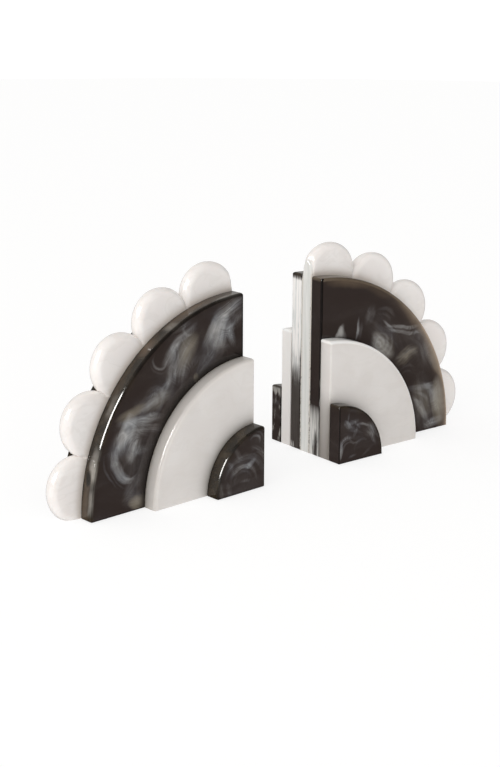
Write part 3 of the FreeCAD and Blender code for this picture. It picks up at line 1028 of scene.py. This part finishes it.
LEFT_SMALL_COOL = [
    # broken rings round a dark eye near the foot
    C(25, 8, 9.0, 92, 90, 2.0, 0.12, streaks=0.8, along=1.4, across=0.9, spiral=1.0),
    C(25, 8, 13.5, 100, 86, 3.0, 0.34, streaks=0.7, along=1.6, across=1.2, spiral=2.0),
    C(25, 9, 18.5, 70, 60, 2.4, 0.16, streaks=0.8, along=1.4, across=1.0, spiral=1.2),
    C(25, 9, 22.0, 118, 70, 3.6, 0.20, streaks=0.8, along=1.6, across=1.5, spiral=1.5),
    C(24, 9, 28.5, 138, 46, 3.4, 0.20, streaks=0.8, along=1.6, across=1.4),
    W(15.5, 21.5, -26, 8, 3.2, 0.36, streaks=0.5, across=1.4),
    C(10.5, 40.0, 5.2, 110, 105, 1.8, 0.36, streaks=0.5, along=0.8, across=0.8),
    C(10.5, 40.0, 8.6, 130, 70, 1.4, 0.15, streaks=0.5, along=0.8, across=0.8),
    W(30, 35, 55, 9, 3.2, 0.18, streaks=0.6),
    W(36, 25, 58, 12, 2.8, 0.16, streaks=0.6),
    W(47, 9, 80, 13, 3.0, 0.22, streaks=0.6),
    W(38, 6, 76, 9, 2.8, 0.18, streaks=0.6),
    W(22, 9, 0, 6, 1.8, 0.18, streaks=0.5),
]
RIGHT_LARGE_COOL = [
    W(108, 76, -52, 38, 24.0, 0.12, streaks=0.6, along=0.5, across=5.0),
    W(68, 104, -34, 34, 17.0, 0.16, streaks=0.6, along=0.5, across=4.0),
    W(122, 24, -78, 34, 18.0, 0.34, streaks=0.6, along=0.5, across=4.0),
    W(71, 86, -50, 24, 16.0, 0.26, streaks=0.6, along=0.6, across=3.6),
    W(18, 103, 62, 12, 6.5, 1.30, streaks=0.2, along=0.5, across=1.2, sharp=1.9),
    W(23, 103, -62, 10, 4.5, 0.65, streaks=0.3, along=0.6, across=1.2),
    W(40.5, 104, 82, 11, 2.6, 0.80, streaks=0.3, along=0.5, across=1.0, bend=0.5, sharp=1.8),
    W(44, 102, 80, 9, 3.4, 0.30, streaks=0.4),
    W(55, 115, 66, 11, 7.0, 0.26, streaks=0.5),
    C(66, 101, 18.5, 62, 40, 2.6, 0.26, streaks=0.5, along=0.8, across=1.2),
    C(66, 101, 13.5, 52, 36, 2.0, 0.20, streaks=0.5, along=0.8, across=1.2),
    # two drifting lines across the middle
    W(95, 98.0, -7, 24, 2.4, 0.72, streaks=0.5, along=0.35, across=1.6, bend=0.9),
    W(96, 93.5, -9, 25, 2.4, 0.48, streaks=0.5, along=0.35, across=1.6, bend=1.0),
    W(76, 103, -40, 9, 1.6, 0.60, streaks=0.2, along=0.5),
    W(79, 98.5, -30, 9, 1.4, 0.34, streaks=0.2, along=0.5),
    # cloud beside the medium arch
    W(71, 86, -44, 19, 12.0, 0.74, streaks=0.45, along=0.6, across=2.6, sharp=1.7),
    C(68, 89, 4.0, 40, 160, 1.7, 0.34, streaks=0.3, along=0.8, across=0.8),
    C(68, 89, 8.2, 0, 110, 1.7, 0.30, streaks=0.3, along=0.8, across=0.8),
    C(68, 88, 13.0, -20, 60, 1.8, 0.26, streaks=0.3, along=0.8, across=0.8),
    # curved grey band parallel to the rim
    W(106, 87, -28, 20, 6.0, 0.10, streaks=0.6, along=0.5, across=2.4),
    C(86, 58, 37.0, 28, 26, 6.0, 0.24, streaks=0.6, along=0.5, across=2.4),
    W(98, 73.5, 12, 16, 6.5, 0.32, streaks=0.8, along=0.8, across=3.0),
    W(130, 70, -58, 24, 7.5, 0.62, streaks=0.35, along=0.5, across=1.8),
    W(114, 91, -44, 10, 6.0, 0.34, streaks=0.5, along=0.6, across=1.8),
    C(100, 45, 18.0, 95, 50, 1.6, 0.10, streaks=0.4, along=0.8, across=0.8),
    C(100, 45, 13.0, 95, 50, 1.6, 0.10, streaks=0.4, along=0.8, across=0.8),
    # below the sharp boundary
    W(118, 42.5, 1, 21, 6.5, 0.42, streaks=0.4, sharp=2.6, along=0.4, across=1.6),
    C(110, 20, 26.0, 30, 50, 5.5, 0.56, streaks=0.5, along=0.5, across=2.2),
    C(110, 18, 18.5, 48, 55, 2.2, 0.26, streaks=0.4, along=0.6, across=1.2),
    C(110, 16, 13.5, 48, 55, 1.8, 0.18, streaks=0.4, along=0.6, across=1.2),
    W(119, 20, -52, 17, 4.0, 0.36, streaks=0.4, along=0.4, across=1.4),
    W(114, 27, -42, 12, 2.8, 0.22, streaks=0.4, along=0.4),
    W(140, 27, -82, 24, 8.0, 0.78, streaks=0.4, along=0.4, across=1.8),
    W(134, 6, 5, 14, 5.5, 0.60, streaks=0.4, along=0.6),
]
RIGHT_LARGE_WARM = [
    W(99, 73, 22, 16, 8.5, 0.46, streaks=0.95, along=1.4, across=4.2),
    W(136, 62, -62, 20, 5.5, 0.50, streaks=0.3),
    W(71, 86, -44, 18, 11.0, 0.34, streaks=0.6, along=0.6, across=2.6),
    W(139, 24, -84, 26, 9.0, 0.62, streaks=0.4, along=0.5, across=1.8),
    W(120, 30, -70, 22, 12.0, 0.22, streaks=0.5, along=0.5, across=2.4),
]
RIGHT_GLOW = [
    W(30, 146, -9, 30, 7.0, 0.70, streaks=0.2),
    W(62, 137, -26, 26, 7.0, 0.35, streaks=0.2),
    W(100, 109, -46, 34, 5.0, 0.45, streaks=0.2),
    W(133, 66, -60, 28, 7.0, 0.70, streaks=0.2),
]
RIGHT_SMALL_COOL = [
    W(20, 26, -24, 26, 15.0, 0.10, streaks=0.8, along=0.8, across=5.0),
    W(24, 10, 10, 24, 8.0, 0.05, streaks=0.8, along=0.8, across=4.0),
    # an arm rising from the foot and bending over
    W(2.2, 10.5, 80, 8.5, 2.2, 0.74, streaks=0.5, along=0.8, across=1.0),
    C(9, 13, 8.6, 126, 76, 2.8, 0.60, streaks=0.7, along=0.9, across=1.8),
    C(10, 12, 5.6, 120, 80, 1.4, 0.20, streaks=0.5, along=0.8, across=0.8),
    C(17, 22, 6.0, 250, 80, 1.6, 0.30, streaks=0.6, along=0.8, across=1.0),
    # torn cloud in the upper part
    W(8.4, 33.6, -40, 6.0, 3.6, 0.50, streaks=0.7, along=0.9, across=1.8, sharp=1.4),
    W(9.0, 39.0, 80, 6.0, 1.6, 0.22, streaks=0.5),
    W(15.5, 34.6, 6, 6.5, 2.4, 0.46, streaks=0.7, along=0.9, across=1.6),
    W(13.0, 30.0, -60, 6.0, 2.6, 0.22, streaks=0.7, along=0.9, across=1.6),
    W(19.5, 31.0, -50, 5.0, 2.0, 0.26, streaks=0.6),
    W(26, 31.0, -16, 7.5, 1.8, 0.34, streaks=0.5, bend=-0.8),
    W(34.0, 24.0, -56, 9.0, 4.2, 0.50, streaks=0.8, along=0.7, across=2.4, sharp=0.6),
    W(38.0, 17.0, -64, 7.0, 2.6, 0.28, streaks=0.6),
    W(30.0, 22.0, -50, 8.0, 3.0, 0.16, streaks=0.8, across=2.4),
    W(16.8, 25.4, 64, 4.6, 2.4, 0.26, streaks=0.6),
    C(25.5, 9.5, 8.2, 120, 90, 1.8, 0.12, streaks=0.6, along=1.0, across=0.8),
    W(14.5, 4.6, 14, 6.0, 1.8, 0.24, streaks=0.5),
    W(41.5, 20, -52, 9, 2.0, 0.20, streaks=0.6),
    W(31, 6, 30, 9, 2.0, 0.14, streaks=0.6),
    W(17, 44, -16, 14, 2.4, 0.18, streaks=0.6),
]


def random_strokes(seed, radius, count):
    """Marbling for the slabs that face away: same family, other layout."""
    rnd = random.Random(seed)
    out = []
    for _ in range(count):
        a = rnd.uniform(0.05, 1.5)
        r = radius * math.sqrt(rnd.uniform(0.2, 0.95))
        x, z = r * math.cos(a), r * math.sin(a)
        k = radius / 152.0
        if rnd.random() < 0.66:
            out.append(W(x, z, rnd.uniform(-80, 60), rnd.uniform(16, 38) * k,
                         rnd.uniform(6, 16) * k, rnd.uniform(0.15, 0.85),
                         streaks=rnd.uniform(0.5, 0.85), bend=rnd.uniform(-0.5, 0.5),
                         along=rnd.uniform(0.5, 0.9), across=rnd.uniform(2.2, 4.2),
                         sharp=rnd.uniform(0.8, 1.9)))
        else:
            out.append(C(x, z, rnd.uniform(9, 26) * k, rnd.uniform(-180, 180),
                         rnd.uniform(50, 120), rnd.uniform(2.4, 6.5) * k,
                         rnd.uniform(0.15, 0.60), streaks=rnd.uniform(0.5, 0.85),
                         spiral=rnd.uniform(-3, 3) * k, along=1.1, across=2.2))
    return out


# where the two large slabs meet the book face, white resin runs into the smoke
RIGHT_REAR_WHITE = [
    W(0, 121, 90, 42, 15.0, 2.0, streaks=0.1, depth=60.0),
    W(0, 82, 90, 24, 24.0, 0.62, streaks=0.3, along=0.5, across=1.2, depth=6.5),
    W(0, 3, 0, 9, 3.0, 0.9, streaks=0.3, y=17.5, depth=3.0),
]
RIGHT_REAR_INK = [
    W(0, 150.5, 0, 14, 4.0, 0.9, streaks=0.4),
    W(0, 30, 90, 46, 26.0, 1.2, streaks=0.1, depth=40.0),
]
RIGHT_FRONT_WHITE = [
    W(0, 5, 90, 40, 26.0, 1.15, streaks=0.15, along=0.5, across=1.4, depth=60.0),
    W(0, 56, 90, 30, 20.0, 1.10, streaks=0.2, y=-20.6, depth=2.8),
]
RIGHT_FRONT_INK = [
    W(0, -2, 90, 26, 22.0, 1.0, streaks=0.2, y=-14.0, depth=3.4),
    W(0, 6, 90, 17, 22.0, 0.6, streaks=0.2, y=-14.2, depth=1.9),
    W(0, 0, 90, 30, 22.0, 0.22, streaks=0.3, y=-17.6, depth=2.6),
    W(0, 33, 90, 11, 22.0, 0.7, streaks=0.3, y=-18.4, depth=1.1),
    W(0, 30, 90, 14, 22.0, 0.13, streaks=0.2, y=-15.4, depth=4.4),
]
RIGHT_REAR_LARGE = [
    W(0, 66, 90, 26, 14.0, 0.60, streaks=0.6, along=0.6, across=1.2, depth=7.5),
]
RIGHT_REAR_SMALL = [
    W(1, 48.4, 0, 12, 2.4, 0.60, streaks=0.5),
]

# ---------------------------------------------------------------------- pieces
made = []


def piece(obj, side, node, mat):
    obj.data.materials.clear()
    obj.data.materials.append(mat)
    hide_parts(node)
    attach(obj, SIDES[side]["body"])
    made.append(obj)
    return obj


FACES = {"front": -1, "rear": 1}
SIZES = {"large": (1, R_LARGE), "medium": (2, R_MEDIUM), "small": (3, R_SMALL)}
SMOKE = {
    "left_front_large": dict(cool=LEFT_LARGE_COOL, warm=LEFT_LARGE_WARM, seed=1.0,
                             rim_cool=LEFT_RIM_COOL, rim_warm=LEFT_RIM_WARM, big=3.6, small=0.9,
                             haze=0.08, gain=0.50, step_shade=(R_MEDIUM, 12.0, 0.85), ink=LEFT_INK),
    "left_front_small": dict(cool=LEFT_SMALL_COOL, warm=[], seed=2.0, big=3.0, small=1.8,
                             haze=0.08, veil=0.03, rim_rough=0.30),
    "left_rear_large": dict(cool=random_strokes(11, R_LARGE, 30), warm=[], seed=3.0, haze=0.12,
                            gain=1.15, big=4.0, small=1.0),
    "left_rear_small": dict(cool=random_strokes(12, R_SMALL, 16), warm=[], seed=4.0, haze=0.12,
                            big=2.2, small=1.4),
    "right_front_large": dict(cool=RIGHT_LARGE_COOL, warm=RIGHT_LARGE_WARM, seed=5.0,
                              glow=RIGHT_GLOW, haze=0.05, big=3.0, small=0.9, lit_edge_gain=0.8,
                              white=RIGHT_FRONT_WHITE, ink=RIGHT_FRONT_INK, gain=0.76, step_shade=(R_MEDIUM, 3.5, 0.6),
                              face_line=True, painted_dark_edge_gain=1.0, rim_lift=0.85, cool_tint=0.04,
                              sand_tint=0.16, rim_glow=0.95, dim_white=True),
    "right_front_small": dict(cool=RIGHT_SMALL_COOL, warm=[], seed=6.0, haze=0.05, big=2.0,
                              small=1.5, gain=0.86, dark_strip=True),
    "right_rear_large": dict(cool=RIGHT_REAR_LARGE + random_strokes(13, R_LARGE, 26), warm=[], haze=0.10,
                             seed=7.0, big=2.5, small=1.3, white=RIGHT_REAR_WHITE,
                             ink=RIGHT_REAR_INK, ink_tone=(0.070, 0.060, 0.054, 1)),
    "right_rear_small": dict(cool=RIGHT_REAR_SMALL + random_strokes(14, R_SMALL, 12), warm=[],
                             seed=8.0, haze=0.10, big=1.4, small=1.0, bits=0.85),
}
k = 0.0
for side in ("left", "right"):
    for face, sg in FACES.items():
        for size, (lv, rad) in SIZES.items():
            k += 1.0
            y_bond = sg * (lv * PITCH - H)
            y_open = sg * (lv * PITCH + H)
            key = "%s_%s_%s" % (side, face, size)
            if size == "medium":
                mat = pearl_mat("pearl_" + key, side, rad, y_open, y_bond, k,
                                corner=1.0 if side == "left" else 0.45,
                                lit_edge=0.0 if side == "left" else 0.8,
                                foot=key == "right_front_medium")
            else:
                mat = smoke_mat("smoke_" + key, side, rad, y_open, y_bond, **SMOKE[key])
            o = arch(key + "_slab", side, rad, y_open, y_bond)
            piece(o, side, key + "_arch",
                  mat)
    o = core("%s_scalloped_core" % side, side)
    piece(o, side, "%s_scallop_core" % side,
          pearl_mat("pearl_%s_core" % side, side, 0, -H, H, 20.0 + k, is_core=True))


# carried-over CAD pieces: adhesive films and pads
def simple_mat(name, col_a, col_b, rough_a, rough_b, scale, trans=0.0, bump=0.02):
    m = new_mat(name)
    n = Net(m.node_tree)
    tc = n.add("ShaderNodeTexCoord")
    v = n.vmath("SCALE", tc.outputs["Object"], scale=1000.0)
    f = n.noise(v, scale, 4.0, 0.6, 0.3)
    col = n.mix(n.ramp(f, 0.35, 0.68), col_a, col_b)
    spots = n.noise(v, scale * 4, 2.0, 0.6)
    col = n.mix(n.ramp(spots, 0.62, 0.7, 0.0, 0.25), col, col_a)
    rough = n.ramp(f, 0.3, 0.7, rough_a, rough_b)
    b = n.add("ShaderNodeBsdfPrincipled")
    n.put(b.inputs["Base Color"], col)
    n.put(b.inputs["Roughness"], rough)
    b.inputs["IOR"].default_value = 1.48
    b.inputs["Transmission Weight"].default_value = trans
    bn = n.add("ShaderNodeBump")
    bn.inputs["Distance"].default_value = bump * MM
    n.put(bn.inputs["Height"], f)
    n.put(b.inputs["Normal"], bn.outputs[0])
    out = n.add("ShaderNodeOutputMaterial")
    n.put(out.inputs["Surface"], b.outputs[0])
    return m


film_mat = simple_mat("bond_adhesive_film", (0.10, 0.085, 0.07, 1), (0.17, 0.15, 0.125, 1),
                      0.22, 0.4, 0.35)
pad_mat = simple_mat("pad_clear_urethane", (0.62, 0.62, 0.60, 1), (0.76, 0.76, 0.74, 1),
                     0.32, 0.48, 0.4, trans=0.35, bump=0.03)
for side in ("left", "right"):
    for node, mat in (("%s_bond_films" % side, film_mat), ("%s_foot_pads" % side, pad_mat)):
        me = NODES[node].data
        me.materials.clear()
        me.materials.append(mat)
        for q in me.polygons:
            q.material_index = 0

# ------------------------------------------------------------ stage and lights
bpy.ops.mesh.primitive_circle_add(vertices=96, radius=4.0, fill_type="NGON", location=(0, 0, 0))
floor = bpy.context.active_object
floor.name = "stage_floor"
fm = new_mat("stage_floor")
n = Net(fm.node_tree)
fb = n.add("ShaderNodeBsdfPrincipled")
fb.inputs["Base Color"].default_value = (0.30, 0.30, 0.30, 1)
fb.inputs["Roughness"].default_value = 0.9
fb.inputs["Specular IOR Level"].default_value = 0.0
fb.inputs["Emission Color"].default_value = (1, 1, 1, 1)
fb.inputs["Emission Strength"].default_value = 0.76
fo = n.add("ShaderNodeOutputMaterial")
n.put(fo.inputs["Surface"], fb.outputs[0])
floor.data.materials.append(fm)
floor.visible_glossy = False
floor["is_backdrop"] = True

# soft room light: even for matt light, graded for reflections (bright ceiling
# towards the back, dark towards the camera), white where the camera looks
world = bpy.data.worlds.new("studio")
bpy.context.scene.world = world
world.use_nodes = True
wt = world.node_tree
wt.nodes.clear()
n = Net(wt)
tc = n.add("ShaderNodeTexCoord")
gen = tc.outputs["Generated"]
g1 = n.vmath("DOT_PRODUCT", gen, (0.08, 0.62, 0.78))
refl = n.math("MULTIPLY_ADD", n.ramp(g1, 0.5, 0.98), 0.34, 0.07)
g2 = n.vmath("DOT_PRODUCT", gen, (-0.9, -0.1, 0.42))
refl = n.math("MULTIPLY_ADD", n.ramp(g2, 0.55, 1.0), 0.35, refl)
g3 = n.vmath("DOT_PRODUCT", gen, (0.67, 0.74, 0.02))
refl = n.math("MULTIPLY_ADD", n.ramp(g3, 0.80, 0.99), 0.55, refl)
soft = n.vmath("DOT_PRODUCT", gen, (-0.96, -0.25, 0.12))
matt = n.math("MULTIPLY_ADD", n.ramp(soft, -0.35, 1.0), 0.86, 0.44)


def backdrop(strength, color=(1, 1, 1, 1)):
    bg = n.add("ShaderNodeBackground")
    bg.inputs["Color"].default_value = color
    n.put(bg.inputs["Strength"], strength)
    return bg.outputs[0]


lp = n.add("ShaderNodeLightPath")
m1 = n.add("ShaderNodeMixShader")
n.put(m1.inputs[0], lp.outputs["Is Glossy Ray"])
n.put(m1.inputs[1], backdrop(matt, (1.0, 0.99, 0.975, 1)))
n.put(m1.inputs[2], backdrop(refl, (1.0, 0.97, 0.94, 1)))
m2 = n.add("ShaderNodeMixShader")
n.put(m2.inputs[0], lp.outputs["Is Camera Ray"])
n.put(m2.inputs[1], m1.outputs[0])
n.put(m2.inputs[2], backdrop(1.2))
wo = n.add("ShaderNodeOutputWorld")
n.put(wo.inputs["Surface"], m2.outputs[0])


def area(name, direction, dist, w, h, power, color=(1, 1, 1), target=(0.0, 0.0, 0.08), roll=0.0):
    d = Vector(direction).normalized()
    light = bpy.data.lights.new(name, "AREA")
    light.shape = "RECTANGLE"
    light.size, light.size_y = w, h
    light.energy = power
    light.color = color
    o = bpy.data.objects.new(name, light)
    bpy.context.scene.collection.objects.link(o)
    o.location = Vector(target) + d * dist
    o.rotation_mode = "QUATERNION"
    q = (-d).to_track_quat("-Z", "Y")
    from mathutils import Quaternion
    o.rotation_quaternion = q @ Quaternion((0, 0, 1), math.radians(roll))
    return o


strip = area("strip_reflection", (-0.85, 0.05, 0.53), 2.2, 1.5, 1.2, 185, (1.0, 0.985, 0.96),
             target=(-0.16, 0.0, 0.07))
strip.visible_diffuse = False
key = area("soft_key", (-0.80, -0.25, 0.55), 2.2, 1.1, 1.1, 5, (1.0, 0.985, 0.96))
key.visible_glossy = False

# --------------------------------------------------------------------- camera
cam_data = bpy.data.cameras.new("camera")
cam = bpy.data.objects.new("camera", cam_data)
bpy.context.scene.collection.objects.link(cam)
K = 152.4 / 150.0
YAW, PITCH_A, ROLL = 0.7463, 0.2733, 0.0050
FOCAL = 1549.85
lc = SIDES["left"]["corner"]
cam.location = (lc.x - 785.196 * K * MM, lc.y - 875.085 * K * MM, lc.z + 403.70 * K * MM)
fwd = Vector((math.sin(YAW) * math.cos(PITCH_A), math.cos(YAW) * math.cos(PITCH_A),
              -math.sin(PITCH_A)))
right0 = Vector((math.cos(YAW), -math.sin(YAW), 0))
up0 = right0.cross(fwd)
rt = right0 * math.cos(ROLL) + up0 * math.sin(ROLL)
upv = -right0 * math.sin(ROLL) + up0 * math.cos(ROLL)
from mathutils import Matrix
rot = Matrix((rt, upv, -fwd)).transposed()
cam.rotation_mode = "QUATERNION"
cam.rotation_quaternion = rot.to_quaternion()
cam_data.sensor_width = 36.0
cam_data.lens = FOCAL * 36.0 / 767.0
cam_data.clip_start, cam_data.clip_end = 0.05, 30.0
bpy.context.scene.camera = cam

vs = bpy.context.scene.view_settings
vs.view_transform = "Standard"
vs.look = "None"
vs.exposure = 0.0
vs.gamma = 1.0

lo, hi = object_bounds()
